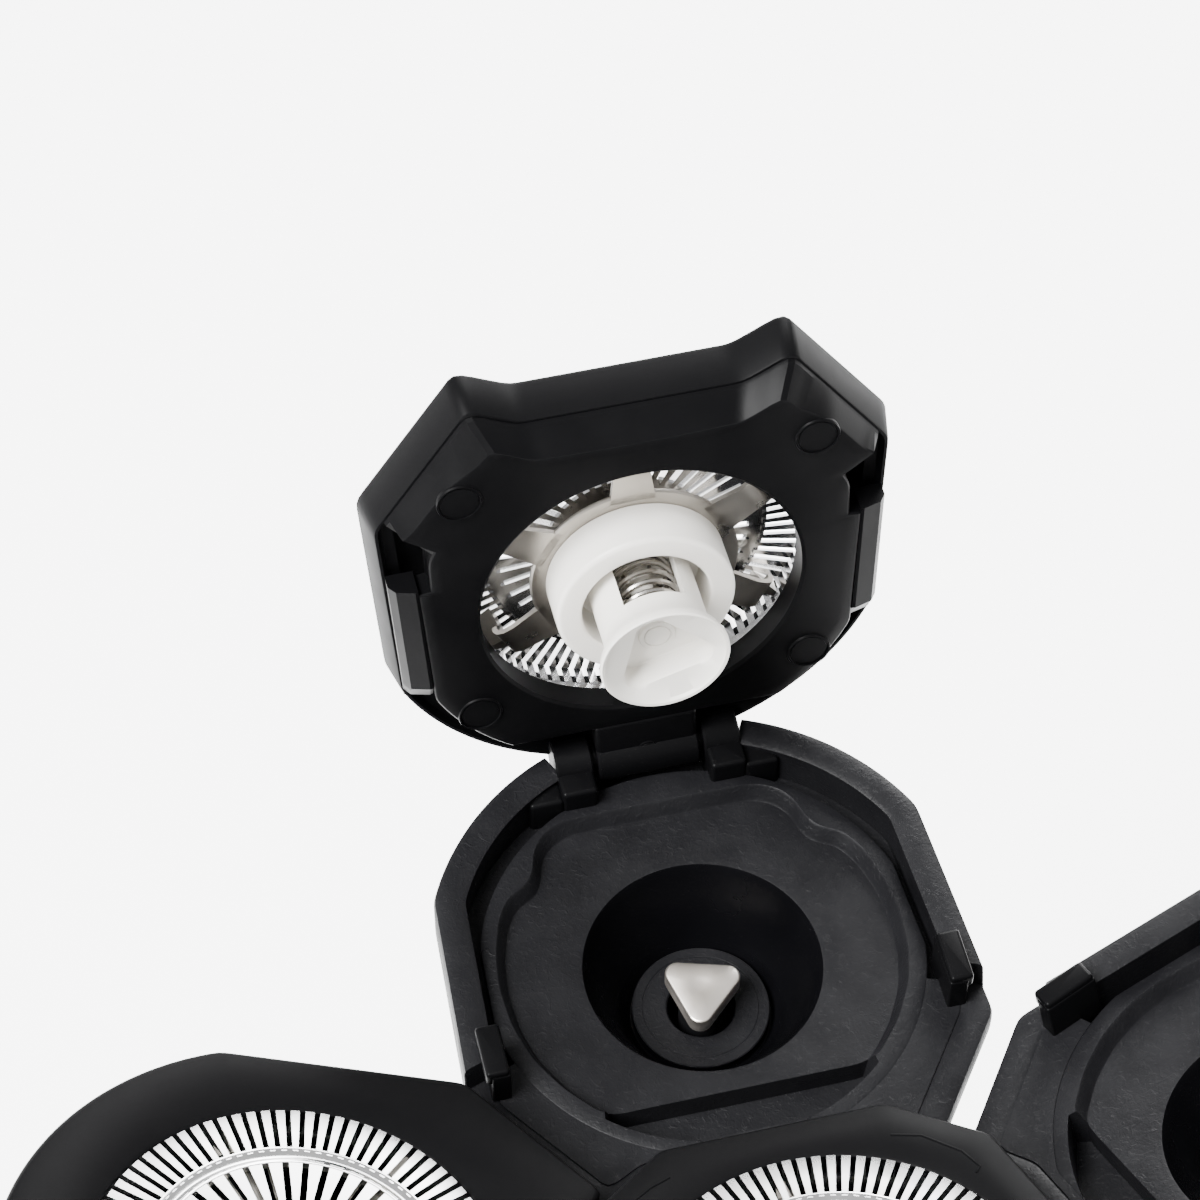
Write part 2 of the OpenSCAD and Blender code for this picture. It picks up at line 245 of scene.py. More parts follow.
@dataclass(frozen=True)
class Layout:
    """Where the shaving heads sit, in millimetres and degrees."""

    track_height: float = 116.0
    pod_offset: float = 26.8
    pod_rise: float = 1.8
    pod_tilt: float = 12.0
    hinge_y: float = 13.5
    hinge_z: float = -3.85
    open_angle: float = 97.0

    def centre(self) -> np.ndarray:
        """Place of the centre head."""
        return shift(0, 0, self.track_height)

    def pod(self, pod: Pod) -> np.ndarray:
        """Place of a pod's base."""
        out = shift(0, self.pod_offset, self.pod_rise) @ turn_x(self.pod_tilt)
        return self.centre() @ turn_z(72 * pod.value) @ out

    def lid(self, pod: Pod) -> np.ndarray:
        """Place of a pod's lid and all it carries: the base's place, swung back where the pod is open."""
        if not pod.is_open:
            return self.pod(pod)
        hinge = shift(0, self.hinge_y, self.hinge_z)
        return self.pod(pod) @ hinge @ turn_x(-self.open_angle) @ np.linalg.inv(hinge)


LAYOUT = Layout()


def piece(name: str, shape: Shape, place: np.ndarray, finish: bpy.types.Material, body: str,
          replaces: tuple[str, ...] = (), sharp: float = 35.0,
          second: tuple[bpy.types.Material, int] | None = None) -> bpy.types.Object:
    """Makes one object of a shape and hands it to the frame.

    Args:
        name: the object's name.
        shape: its surface in millimetres.
        place: where the shape goes in the row frame, in millimetres.
        finish: its material.
        body: the moving body it rides on.
        replaces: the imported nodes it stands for.
        sharp: edges that turn by more than this many degrees stay sharp.
        second: another material, and the first point of the shape that has it.

    Returns:
        The new object.
    """
    points = shape.placed(place).points * MM
    mesh = bpy.data.meshes.new(name)
    mesh.from_pydata(points.tolist(), [], [f for group in shape.faces for f in group.tolist()])
    mesh.update()
    mesh.materials.append(finish)
    if second:
        mesh.materials.append(second[0])
        lowest = np.concatenate([group.min(1) for group in shape.faces])
        mesh.polygons.foreach_set("material_index", (lowest >= second[1]).astype(np.int32))
    mesh.shade_smooth()
    mesh.set_sharp_from_angle(angle=math.radians(sharp))
    mesh.validate()
    obj = bpy.data.objects.new(name, mesh)
    bpy.context.scene.collection.objects.link(obj)
    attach(obj, body)
    if replaces:
        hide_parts(*replaces)
    LOG.info("%s: %d points on %s", name, len(points), body)
    return obj


# ---------------------------------------------------------------- finishes


def linear(code: str) -> tuple[float, float, float, float]:
    """An sRGB hex colour as linear red, green, blue and alpha 1."""
    c = np.array([int(code[k:k + 2], 16) for k in (1, 3, 5)]) / 255
    c = np.where(c <= 0.04045, c / 12.92, ((c + 0.055) / 1.055) ** 2.4)
    return (float(c[0]), float(c[1]), float(c[2]), 1.0)


def add(tree: bpy.types.NodeTree, kind: str, settings: dict | None = None, **inputs) -> bpy.types.Node:
    """Adds one node.

    Args:
        tree: the material's node tree.
        kind: the node's type name.
        settings: properties of the node.
        **inputs: socket values, or (node, output name) to link; underscores stand for spaces.

    Returns:
        The node.
    """
    node = tree.nodes.new(kind)
    for key, value in (settings or {}).items():
        setattr(node, key, value)
    for key, value in inputs.items():
        socket = node.inputs[key.replace("_", " ")]
        if isinstance(value, tuple) and value and isinstance(value[0], bpy.types.Node):
            tree.links.new(value[0].outputs[value[1]], socket)
        else:
            socket.default_value = value
    return node


@dataclass(frozen=True)
class Finish:
    """One moulded, turned or pressed surface: two tones mottled together, and a fine relief.

    grain_mm is the size of the relief's cells, blotch_mm that of the change in tone and gloss.
    """

    name: str
    dark: str
    light: str
    roughness: tuple[float, float]
    metallic: float = 0.0
    grain_mm: float = 0.25
    relief: float = 0.15
    depth_mm: float = 0.02
    blotch_mm: float = 4.0
    coat: float = 0.0
    specular: float = 0.5
    subsurface: float = 0.0
    stretch: tuple[float, float, float] = (1.0, 1.0, 1.0)
    scratches: float = 0.0
    glow: float = 0.0

    def material(self) -> bpy.types.Material:
        """Builds the node material."""
        mat = bpy.data.materials.new(self.name)
        mat.use_nodes = True
        tree = mat.node_tree
        tree.nodes.clear()
        where = add(tree, "ShaderNodeTexCoord")
        mapped = add(tree, "ShaderNodeMapping", Vector=(where, "Object"), Scale=self.stretch)
        blotch = add(tree, "ShaderNodeTexNoise", Vector=(mapped, "Vector"), Scale=1000 / self.blotch_mm, Detail=4.0)
        grain = add(tree, "ShaderNodeTexNoise", Vector=(mapped, "Vector"), Scale=1000 / self.grain_mm, Detail=2.0,
                    Roughness=0.6)
        tone = add(tree, "ShaderNodeMix", {"data_type": "RGBA"}, Factor=(blotch, "Fac"))
        tone.inputs[6].default_value = linear(self.dark)
        tone.inputs[7].default_value = linear(self.light)
        gloss = add(tree, "ShaderNodeMapRange", Value=(blotch, "Fac"), From_Min=0.3, From_Max=0.7,
                    To_Min=self.roughness[0], To_Max=self.roughness[1])
        height = grain
        if self.scratches:
            rubbed = add(tree, "ShaderNodeTexNoise", Vector=(where, "Object"), Scale=1600.0, Detail=5.0,
                         Distortion=1.5)
            sharp = add(tree, "ShaderNodeMapRange", Value=(rubbed, "Fac"), From_Min=0.56, From_Max=0.62,
                        To_Min=0.0, To_Max=self.scratches)
            height = add(tree, "ShaderNodeMath", {"operation": "ADD"})
            tree.links.new(grain.outputs["Fac"], height.inputs[0])
            tree.links.new(sharp.outputs["Result"], height.inputs[1])
        bump = add(tree, "ShaderNodeBump", Strength=self.relief, Distance=self.depth_mm * MM)
        tree.links.new(height.outputs["Value" if self.scratches else "Fac"], bump.inputs["Height"])
        shader = add(tree, "ShaderNodeBsdfPrincipled", Metallic=self.metallic, Roughness=(gloss, "Result"),
                     Normal=(bump, "Normal"))
        tree.links.new(tone.outputs[2], shader.inputs["Base Color"])
        shader.inputs["Specular IOR Level"].default_value = self.specular
        shader.inputs["Emission Color"].default_value = (1.0, 1.0, 1.0, 1.0)
        shader.inputs["Emission Strength"].default_value = self.glow
        shader.inputs["Coat Weight"].default_value = self.coat
        shader.inputs["Coat Roughness"].default_value = 0.08
        shader.inputs["Subsurface Weight"].default_value = self.subsurface
        shader.inputs["Subsurface Radius"].default_value = (0.002, 0.0018, 0.0015)
        add(tree, "ShaderNodeOutputMaterial", Surface=(shader, "BSDF"))
        return mat


class Finishes:
    """Every finish on the shaver, each named for what it is and how it was made."""

    def __init__(self) -> None:
        """Builds the materials once."""
        # fine-eroded ABS with a soft-feel lacquer: near black, wide dull highlights
        self.lid = Finish("soft_feel_abs", "#070708", "#0b0b0c", (0.42, 0.52), grain_mm=0.12, relief=0.25,
                          depth_mm=0.01, specular=0.05).material()
        # the same ABS as moulded inside the lid: smoother, a little glossier
        self.lid_inside = Finish("moulded_abs", "#060607", "#0a0a0b", (0.32, 0.44), grain_mm=0.2, relief=0.2,
                                 depth_mm=0.01, scratches=0.15, specular=0.06).material()
        # spark-eroded polypropylene of the cups: grained charcoal with rubbed, shinier patches
        self.base = Finish("grained_polypropylene", "#0d0d0f", "#161618", (0.36, 0.54), grain_mm=0.26, relief=0.6,
                           depth_mm=0.04, blotch_mm=2.6, scratches=0.35, specular=0.14).material()
        # polished core side of the same moulding: glossy, its colour painted darker than the cups' as painted shade
        # down the deep bore
        self.bore = Finish("polished_core_polypropylene_painted_shade", "#050506", "#08080a", (0.2, 0.3), grain_mm=0.5,
                           relief=0.1, depth_mm=0.01, specular=0.08).material()
        self.track = Finish("polished_stainless", "#cfcfd0", "#e2e2e2", (0.14, 0.22), 1.0, 0.3, 0.05, 0.004,
                            3.0).material()
        self.cutter = Finish("tumbled_stainless", "#9c978f", "#c4bfb7", (0.26, 0.4), 1.0, 0.2, 0.35, 0.008,
                             2.2).material()
        self.spring = Finish("drawn_spring_wire", "#a9a6a2", "#c9c6c2", (0.2, 0.3), 1.0, 0.1, 0.2, 0.004,
                             1.0).material()
        self.tip = Finish("satin_nickel", "#d9d2ca", "#efe8e0", (0.34, 0.44), 1.0, 0.1, 0.35, 0.006,
                          2.0).material()
        # unfilled acetal: warm white, slightly waxy
        self.white = Finish("white_acetal", "#e2dfd8", "#ebe8e2", (0.34, 0.46), 0.0, 0.4, 0.12, 0.008, 3.0,
                            subsurface=0.04).material()
        self.handle = Finish("soft_feel_grip", "#08080a", "#0d0d0f", (0.5, 0.62), grain_mm=0.35, relief=0.4,
                             depth_mm=0.02, blotch_mm=9.0, specular=0.07).material()
        self.ring = Finish("anodised_gunmetal", "#5c5e62", "#6d6f73", (0.26, 0.36), 1.0, 0.2, 0.3, 0.006, 3.0,
                           stretch=(0.06, 0.06, 1.0)).material()
        self.window = Finish("gloss_acrylic", "#050506", "#08080a", (0.12, 0.16), grain_mm=1.0, relief=0.02,
                             depth_mm=0.004, specular=0.15).material()
        self.button = Finish("satin_abs", "#161618", "#1e1e21", (0.4, 0.5), grain_mm=0.2, relief=0.25,
                             depth_mm=0.01, specular=0.15).material()
        self.chassis = Finish("glass_filled_nylon", "#0c0c0d", "#121214", (0.44, 0.6), grain_mm=0.4, relief=0.4,
                              depth_mm=0.02, specular=0.15).material()
        self.rubber = Finish("silicone_rubber", "#111112", "#171718", (0.6, 0.75), grain_mm=0.3, relief=0.3,
                             depth_mm=0.02).material()
        self.can = Finish("zinc_plated_can", "#8e8f8c", "#a9aaa6", (0.3, 0.42), 1.0, 0.5, 0.25, 0.01,
                          4.0).material()
        self.wrap = Finish("shrink_wrap", "#0d4a3c", "#126150", (0.22, 0.32), grain_mm=1.2, relief=0.2,
                           depth_mm=0.03, coat=0.4).material()
        self.board = Finish("solder_mask", "#0c3a1c", "#115026", (0.25, 0.35), grain_mm=0.6, relief=0.3,
                            depth_mm=0.02, coat=0.3).material()
        self.screw = Finish("black_zinc", "#3a3a3c", "#4c4c4f", (0.3, 0.45), 1.0, 0.3, 0.3, 0.01, 1.5).material()


# ---------------------------------------------------------------- outlines

ANGLES = np.arange(ROUND) * TURN / ROUND


def line_radius(p: tuple, q: tuple, inset: float) -> np.ndarray:
    """Distance from the origin, at each angle, to the line p to q moved inwards by inset; far off where it misses."""
    p, q = np.array(p, float), np.array(q, float)
    n = np.array([q[1] - p[1], p[0] - q[0]]) / np.linalg.norm(q - p)
    n = n if n @ p > 0 else -n
    towards = n[0] * np.cos(ANGLES) + n[1] * np.sin(ANGLES)
    return np.where(towards > 1e-3, (n @ p - inset) / np.maximum(towards, 1e-3), 1e3)


@dataclass(frozen=True)
class PodOutline:
    """A pod seen from above: a round outer edge, flat flanks, straight sides and a notch round the centre head."""

    round_r: float = 15.0
    shoulder: tuple[float, float] = (13.25, 15.3)
    side: tuple[float, float] = (14.5, -6.9)
    inner: tuple[float, float] = (8.8, -14.8)
    notch: tuple[float, float] = (5.9, -13.3)

    def radius(self, inset: float) -> np.ndarray:
        """Radius at each angle, drawn in by inset: the nearest of the arc, flanks and sides, and of the notch's
        three lines the furthest."""
        def both(p: tuple, q: tuple) -> np.ndarray:
            """Radius to the line through p and q, and to its mirror image."""
            left = line_radius((-p[0], p[1]), (-q[0], q[1]), inset)
            return np.stack([line_radius(p, q, inset), left])
        arc = np.where(np.sin(ANGLES) > 0, self.round_r - inset, 1e3)
        flat = line_radius(self.notch, (-self.notch[0], self.notch[1]), inset)
        notch = np.maximum(flat, np.where(both(self.inner, self.notch) < 900, both(self.inner, self.notch), 0).max(0))
        below = np.sin(ANGLES) < -0.3
        sides = np.minimum(both(self.shoulder, self.side).min(0), both(self.side, self.inner).min(0))
        return soften(np.minimum(np.minimum(arc, sides), np.where(below, notch, 1e3)))


@dataclass(frozen=True)
class CentreOutline:
    """The centre head seen from above: five long flats that face the pods and five short ones between them."""

    flat: float = 13.2
    short: float = 14.2

    def radius(self, inset: float) -> np.ndarray:
        """Radius at each angle, drawn in by inset: the nearest of the ten flats."""
        best = np.full(ANGLES.shape, 1e3)
        for k in range(10):
            a = math.radians(90 + 36 * k)
            d = (self.short if k % 2 else self.flat) - inset
            towards = np.cos(ANGLES - a)
            best = np.minimum(best, np.where(towards > 0.2, d / np.maximum(towards, 0.2), 1e3))
        return soften(best)


def soften(radius: np.ndarray, times: int = 1) -> np.ndarray:
    """Rounds an outline's corners a little: each point is averaged with its neighbours, times over."""
    for _ in range(times):
        radius = 0.5 * radius + 0.25 * (np.roll(radius, 1) + np.roll(radius, -1))
    return radius


def polygon_radius(corners: list[tuple[float, float]]) -> np.ndarray:
    """Radius at each angle of a polygon round the origin, given by its corners: straight lines between them."""
    p = np.array(corners + corners[:1], float)
    t = np.linspace(0, 1, 40)[:, None]
    dense = np.vstack([p[i] * (1 - t) + p[i + 1] * t for i in range(len(corners))])
    a = np.mod(np.arctan2(dense[:, 1], dense[:, 0]), TURN)
    order = np.argsort(a)
    return soften(np.interp(ANGLES, a[order], np.hypot(*dense.T)[order], period=TURN), 6)


def triangle_radius(r: float, corner: float) -> np.ndarray:
    """Radius at each angle of a rounded triangle with corners every 120 degrees from TIP_PHASE: the distance along
    a ray to three flats, or to the corner circles where the ray meets those."""
    a = np.mod(ANGLES - math.radians(TIP_PHASE), TURN / 3)
    off = np.minimum(a, TURN / 3 - a)
    reach = r - corner
    flat = (reach / 2 + corner) / np.cos(TURN / 6 - off)
    ray = reach * np.cos(off)
    circle = ray + np.sqrt(np.maximum(corner ** 2 - (reach * np.sin(off)) ** 2, 0))
    touches = math.atan2(corner * math.sin(TURN / 6), reach + corner * math.cos(TURN / 6))
    return np.where(off < touches, circle, flat)


def at(condition: np.ndarray, there: float | np.ndarray, elsewhere: float | np.ndarray) -> np.ndarray:
    """A height per angle: one value where a condition holds, another elsewhere."""
    return np.where(condition, there, elsewhere)


# ---------------------------------------------------------------- the shaving head


@dataclass(frozen=True)
class ShavingTrack:
    """The slotted steel cap: outer slots that wrap over the rim, a polished groove, inner slots and a dished middle."""

    outer_bars: int = 84
    inner_bars: int = 42
    slot_w: float = 0.3
    inner_slot_w: float = 0.36
    thick: float = 0.5

    def bars(self, count: int, slot: float, path: list[tuple[float, float]]) -> Shape:
        """Bars between slots of one width, so that each bar narrows inwards: a strip along path of (radius, height)."""
        route = np.array(path)
        widths = np.maximum(TURN * route[:, 0] / count - slot, 0.1)
        return spin_copies(strip(route, widths, self.thick), count)

    def shape(self) -> Shape:
        """The whole cap."""
        t = self.thick / 2
        rim = [(7.75, -t), (9.0, -t), (10.0, -t), (10.24, -0.2), (10.34, -0.42), (10.35, -0.9), (10.35, -1.5)]
        outer = self.bars(self.outer_bars, self.slot_w, rim)
        inner = self.bars(self.inner_bars, self.inner_slot_w, [(4.2, -t), (5.6, -t), (7.2, -t)])
        groove = lathe([(7.0, 0.0), (7.0, -0.4), (8.0, -0.4), (8.0, 0.0), (7.86, 0.02), (7.7, -0.06),
                        (7.5, -0.12), (7.3, -0.06), (7.14, 0.02)], 144)
        collar = lathe([(10.2, -1.45), (10.2, -2.9), (11.3, -2.9), (11.3, -1.75), (10.55, -1.75), (10.5, -1.45)], 144)
        middle = lathe([(0.01, -0.5), (4.1, -0.4), (4.45, -0.3), (4.45, -0.04), (4.3, 0.0), (4.0, 0.0), (3.7, -0.1),
                        (2.6, -0.16), (2.5, -0.05), (2.3, -0.02), (0.01, -0.02)], 96, around=False)
        return outer + inner + groove + collar + middle


@dataclass(frozen=True)
class SpiderCutter:
    """The spider of blades pressed from one sheet, with six arms bent up into slanting blades."""

    arms: int = 6
    sheet: float = 0.3

    def shape(self) -> Shape:
        """The disc with its arms, their turned-up roots and the blades."""
        plate = lathe([(0.85, -2.45), (0.85, -2.75), (5.7, -2.75), (5.8, -2.67), (5.8, -2.53), (5.7, -2.45)], 120)
        arm_path = np.array([(5.2, -2.6), (7.4, -2.6), (7.95, -2.56), (8.3, -2.4), (8.42, -2.15), (8.42, -1.9)])
        arm = strip(arm_path, np.array([2.5, 1.95, 1.95, 1.95, 1.95, 1.95]), self.sheet)
        top = np.array([(8.4, 0.2), (9.9, 0.45), (9.9, 0.8), (8.4, 0.95)])
        foot = np.array([(8.3, -0.6), (9.2, -0.2), (9.2, 0.2), (8.3, 0.1)])
        blade = rings(np.array([np.column_stack([foot, np.full(4, -2.3)]),
                                np.column_stack([0.5 * (foot + top), np.full(4, -1.4)]),
                                np.column_stack([top, np.full(4, -0.42)])]))
        return plate + spin_copies(arm + blade, self.arms, -90)

    def carrier(self) -> Shape:
        """The white cup that carries the spider: a turned ring with rounded lips."""
        profile = (arc_profile(4.65, -5.2, 0.3, 270, 360) + [(4.95, -2.8), (4.9, -2.75), (0.9, -2.75), (0.9, -2.9),
                   (3.55, -2.95)] + arc_profile(3.75, -5.3, 0.2, 180, 270))
        return lathe(profile, 120)


@dataclass(frozen=True)
class DriveCoupling:
    """The white drive coupling: a stem with two windows that show its spring, and a flared socket end."""

    stem_r: float = 2.88
    bore_r: float = 2.15
    window: float = 1.68

    def wall(self) -> Shape:
        """One stem wall beside the windows: an arc-shaped section carried along z."""
        a = math.acos(self.window / self.stem_r)
        b = math.acos(self.window / self.bore_r)
        outer, inner = np.linspace(-a, a, 17), np.linspace(b, -b, 17)
        ring = np.vstack([np.column_stack([self.stem_r * np.cos(outer), self.stem_r * np.sin(outer)]),
                          np.column_stack([self.bore_r * np.cos(inner), self.bore_r * np.sin(inner)])])
        levels = (-7.35, -6.0, -4.6, -3.05)
        return rings(np.array([np.column_stack([ring, np.full(len(ring), z)]) for z in levels]))

    def shape(self) -> Shape:
        """The whole coupling: head collar, walls, and the flared end with its three-sided socket."""
        head = lathe([(2.15, -2.86), (2.15, -3.15), (2.88, -3.15), (2.88, -2.9), (2.82, -2.86)], 96)
        pin = lathe([(0.01, -7.4), (0.6, -7.4), (0.65, -7.3), (0.65, -2.4), (1.15, -2.37), (1.2, -2.15), (1.0, -1.96),
                     (0.01, -1.95)], 48, around=False)
        tri = triangle_radius(2.7, 0.9)
        r = [0.01, 0.68, 0.7, 0.74, 0.78, 0.96, 1.0, 1.04, triangle_radius(2.5, 0.75), triangle_radius(2.62, 0.85), tri,
             tri + 0.05, 0.5 * tri + 1.42, 3.2, 3.32, 3.46, 3.54, 3.55, 3.45, 3.2, 3.02, 2.92, 2.88, 2.88, 2.8, 0.01]
        z = [-7.84, -7.84, -7.76, -7.76, -7.84, -7.84, -7.8, -7.7, -7.7, -7.78, -9.0, -9.1, -9.22, -9.5, -9.66, -9.7,
             -9.62, -9.48, -9.15, -8.7, -8.3, -7.9, -7.6, -7.36, -7.3, -7.3]
        end = rings(polar_loops(ANGLES, r, z))
        return head + self.wall() + self.wall().placed(turn_z(180)) + pin + end

    def coil(self) -> Shape:
        """The return spring: a helix with closer end turns."""
        t = np.linspace(0, 1, 320)
        a = TURN * 6.5 * t
        z = -7.08 + 4.0 * (t - 0.04 * np.sin(TURN * t))
        path = np.column_stack([1.72 * np.cos(a), 1.72 * np.sin(a), z])
        return tube(path, 0.17)


@dataclass(frozen=True)
class HeadCover:
    """The outer cover of a head: a flat face round the track, a soft rounded edge and a straight skirt."""

    outline: PodOutline | CentreOutline
    face_z: float = -0.35
    edge_w: float = 0.4
    edge_h: float = 0.4
    skirt_z: float = -3.0
    draft: float = 0.45
    hole_r: float = 10.68

    def shape(self) -> Shape:
        """The skirt's foot, up its inside to the hole, over the face and down the outside."""
        t = np.linspace(0, math.pi / 2, 8)
        rim = [(self.edge_w * (1 - math.sin(u)), self.face_z - self.edge_h * (1 - math.cos(u))) for u in t[1:]]
        lean = self.draft
        r = [self.outline.radius(lean + 0.42), self.outline.radius(lean + 1.1), self.outline.radius(1.6), 11.0,
             self.hole_r, self.hole_r, self.hole_r + 0.12, self.outline.radius(self.edge_w + 0.9)]
        r += [self.outline.radius(x) for x, _ in rim]
        foot = self.skirt_z
        z = [foot + 0.5, foot + 0.5, self.face_z - 1.4, self.face_z - 1.4, self.face_z - 1.3, self.face_z - 0.1,
             self.face_z, self.face_z + 0.0]
        z += [y for _, y in rim]
        r += [self.outline.radius(lean), self.outline.radius(lean + 0.06), self.outline.radius(lean + 0.22)]
        z += [foot + 0.12, foot + 0.02, foot + 0.02]
        return rings(polar_loops(ANGLES, r, z)[::-1], around=True)


@dataclass(frozen=True)
class CoverMarks:
    """Fine raised lines on the centre cover that show how it comes off: an arc on one side, a loop on the other."""

    top_z: float = -0.36
    line_r: float = 0.07

    def shape(self) -> Shape:
        """Both lines, half sunk in the face."""
        arc = np.array([(-8.4, 9.6), (-7.9, 10.2), (-7.0, 10.75), (-5.9, 11.15)])
        loop = np.array([(5.7, 10.9), (7.2, 10.45), (8.9, 8.9), (9.5, 7.7), (9.2, 7.35)])
        lines = [tube(np.column_stack([p, np.full(len(p), self.top_z)]), self.line_r) for p in (arc, loop)]
        return joined(lines)


@dataclass(frozen=True)
class LidInside:
    """The plate inside a lid, its side rails, boss rings and hinge lug."""

    outline: PodOutline = PodOutline()
    face_z: float = -4.6
    opening_r: float = 8.9
    bosses: tuple[tuple[float, float], ...] = ((-9.6, -9.4), (9.6, -9.4), (-9.3, 7.1), (9.3, 7.1))

    def plate_radius(self, inset: float | np.ndarray) -> np.ndarray:
        """The plate's edge: close to the skirt on the notch half, stepping in round the pockets and on the hinge
        half, where it is an arc cut by a flat."""
        near = self.outline.radius(0.62) - inset
        far = np.minimum(self.outline.radius(2.1) - inset,
                         np.where(np.sin(ANGLES) > 0.1, (10.4 - inset) / np.maximum(np.sin(ANGLES), 0.1), 1e3))
        y = near * np.sin(ANGLES)
        pocket = np.abs((11.5 - inset) / np.where(np.abs(np.cos(ANGLES)) < 0.1, 0.1, np.cos(ANGLES)))
        return np.where(y < -7.3, near, np.where(y < -3.4, np.minimum(pocket, far), far))

    def chamfer(self) -> np.ndarray:
        """Width of the plate's sloping edge at each angle: broad along the notch, narrow down the sides."""
        deep = -self.outline.radius(0.6) * np.sin(ANGLES)
        return 0.12 + 0.65 * np.clip((deep - 6.5) / 1.5, 0, 1) + 0.8 * np.clip((deep - 11) / 2.2, 0, 1)

    def plate(self) -> Shape:
        """The plate: a sloping edge all round, and a chamfered opening."""
        wide = soften(self.chamfer(), 2)
        r = [self.opening_r + 0.1, self.opening_r, self.opening_r, self.opening_r + 0.18,
             self.plate_radius(wide + 0.7), self.plate_radius(wide + 0.1), self.plate_radius(wide),
             self.plate_radius(wide - 0.08), self.plate_radius(0.1), self.plate_radius(0.0)]
        z = [-3.02, -3.1, self.face_z + 0.15, self.face_z, self.face_z, self.face_z + 0.01, self.face_z + 0.04,
             self.face_z + 0.12, -3.25, -3.02]
        return rings(polar_loops(ANGLES, r, z), around=True)

    def rail(self) -> Shape:
        """One side rail: a bar along the flank that ends in a sloped facet towards the hinge."""
        y = np.array([-3.3, -3.1, 0.0, 4.4, 5.8, 6.2])
        x_out = 13.98 - 0.0474 * y - 0.5
        top = np.array([self.face_z, self.face_z, self.face_z, self.face_z, -3.7, -3.15])
        section = [(0.0, -2.95), (0.0, 0.8), (-0.35, 0.3), (-1.35, 0.0), (-1.52, 0.05), (-1.52, -2.95)]
        loops = []
        for k in range(len(y)):
            ring = [(x_out[k] + dx, y[k], dz if dz < -1 else top[k] + dz) for dx, dz in section]
            loops.append(ring)
        return rings(np.array(loops, float))

    def boss(self, x: float, y: float) -> Shape:
        """A boss end flush with the plate: a disc, a fine groove and a raised lip."""
        z = self.face_z - 0.02
        profile = [(1.24, z + 0.2), (0.01, z + 0.2), (0.01, z - 0.01), (1.0, z - 0.01), (1.03, z + 0.14),
                   (1.1, z + 0.14), (1.13, z - 0.08), (1.2, z - 0.08), (1.24, z + 0.02)]
        return lathe(profile, 48).placed(shift(x, y, 0))

    def lug(self) -> Shape:
        """The hinge lug: a rounded tongue with a dimple, round a barrel on the hinge line."""
        barrel = lathe([(0.86, -2.9), (1.3, -2.9), (1.4, -2.8), (1.4, 2.8), (1.3, 2.9), (0.86, 2.9)], 48)
        barrel = barrel.placed(shift(0, 13.5, -3.85) @ turn_y_to_x())
        tongue = block((-2.9, 10.2, -4.62), (2.9, 14.3, -2.6), 0.3)
        dimple = lathe([(0.55, -4.5), (0.01, -4.5), (0.01, -4.66), (0.3, -4.66), (0.36, -4.6), (0.44, -4.6),
                        (0.5, -4.68), (0.55, -4.64)], 32).placed(shift(0, 12.6, 0))
        return barrel + tongue + dimple

    def shape(self) -> Shape:
        """Everything inside the lid."""
        rails = self.rail() + self.rail().mirrored()
        return self.plate() + rails + joined([self.boss(x, y) for x, y in self.bosses])


def turn_y_to_x() -> np.ndarray:
    """4 by 4 turn that lays the z axis along x."""
    return np.array([[0, 0, 1, 0], [0, 1, 0, 0], [-1, 0, 0, 0], [0, 0, 0, 1.0]])


